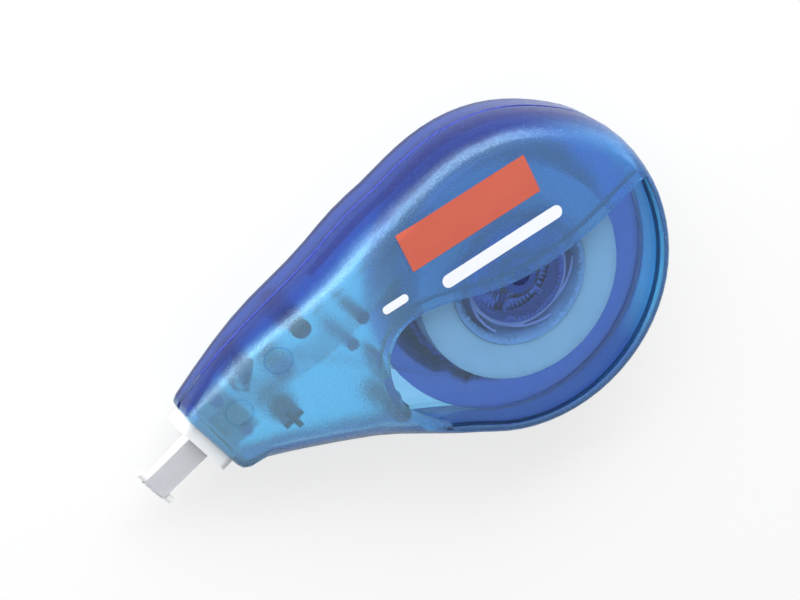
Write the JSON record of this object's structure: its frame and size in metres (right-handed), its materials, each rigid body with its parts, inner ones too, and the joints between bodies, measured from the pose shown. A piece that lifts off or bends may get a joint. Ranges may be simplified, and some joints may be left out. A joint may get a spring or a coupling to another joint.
{
  "type": "correction tape",
  "caption": "Drop-shaped correction tape: translucent case in two halves, white applicator tip in the nose, coaxial supply and take-up reels with a slip clutch and twisted tape runs.",
  "frame": {"origin": "on the flat back face of the case, on the axle of the two reels", "axes": "+Z along the axle from the back face to the front, -X towards the nose and its tip, +Y up in the picture's sense, away from the side the tip leans to"},
  "size_m": [0.0914, 0.051, 0.0152],
  "materials": {
    "case": "translucent, finely frosted skin with a polished window",
    "reel": "translucent, smooth",
    "core": "moulded, satin",
    "clutch": "moulded, satin",
    "tip": "moulded, satin",
    "tape": "matt white coating on a thin film",
    "carrier": "thin bare film"
  },
  "bodies": {
    "case": {"front_shell": "case", "back_shell": "case", "applicator_tip": "tip", "tape_feed_run": "tape", "tape_return_run": "carrier"},
    "take_up": {"take_up_reel": "reel", "take_up_tape_roll": "carrier", "slip_clutch_ring": "clutch"},
    "supply": {"supply_reel": "core", "supply_tape_roll": "tape"}
  },
  "joints": [
    {"name": "take_up_spin", "type": "hinge", "parent": "case", "child": "take_up", "pos_m": [0, 0, 0.0068], "axis": [0, 0, 1], "continuous": true},
    {"name": "supply_spin", "type": "hinge", "parent": "case", "child": "supply", "pos_m": [0, 0, 0.0068], "axis": [0, 0, 1], "continuous": true}
  ],
  "couplings": [
    {"joint": "supply_spin", "follows": "take_up_spin", "ratio": 1.0872}
  ]
}
